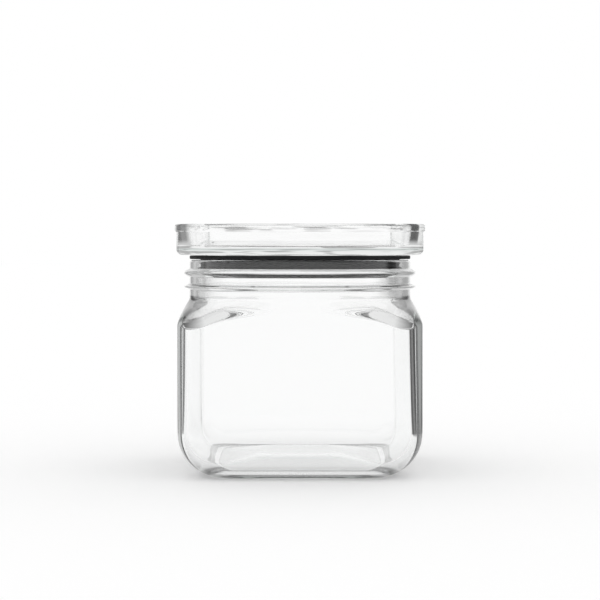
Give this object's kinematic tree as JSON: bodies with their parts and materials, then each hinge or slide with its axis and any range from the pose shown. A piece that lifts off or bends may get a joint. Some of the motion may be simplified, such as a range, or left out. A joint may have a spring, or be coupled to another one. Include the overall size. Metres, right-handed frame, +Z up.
{
  "type": "storage jar",
  "caption": "Square clear-glass storage jar with a round neck, a stacking glass lid that lifts off and turns, and a black silicone seal.",
  "frame": {"origin": "on the surface that the jar stands on, under the middle of the jar", "axes": "+Z up, along the axis of the neck; -Y out of the front face, +X to the right as seen from the front"},
  "size_m": [0.091, 0.091, 0.0934],
  "materials": {
    "jar_glass": "clear, glossy, faintly wavy pressed glass",
    "lid_glass": "clear, glossy pressed glass",
    "seal_silicone": "matt black silicone"
  },
  "bodies": {
    "jar": {"glass_jar": "jar_glass"},
    "seal": {"silicone_seal": "seal_silicone"},
    "lid": {"glass_lid": "lid_glass"}
  },
  "joints": [
    {"name": "lid_lift", "type": "slide", "parent": "jar", "child": "seal", "axis": [0, 0, 1], "range_m": [0, 0.05]},
    {"name": "lid_turn", "type": "hinge", "parent": "seal", "child": "lid", "pos_m": [0, 0, 0.0822], "axis": [0, 0, 1], "continuous": true}
  ]
}
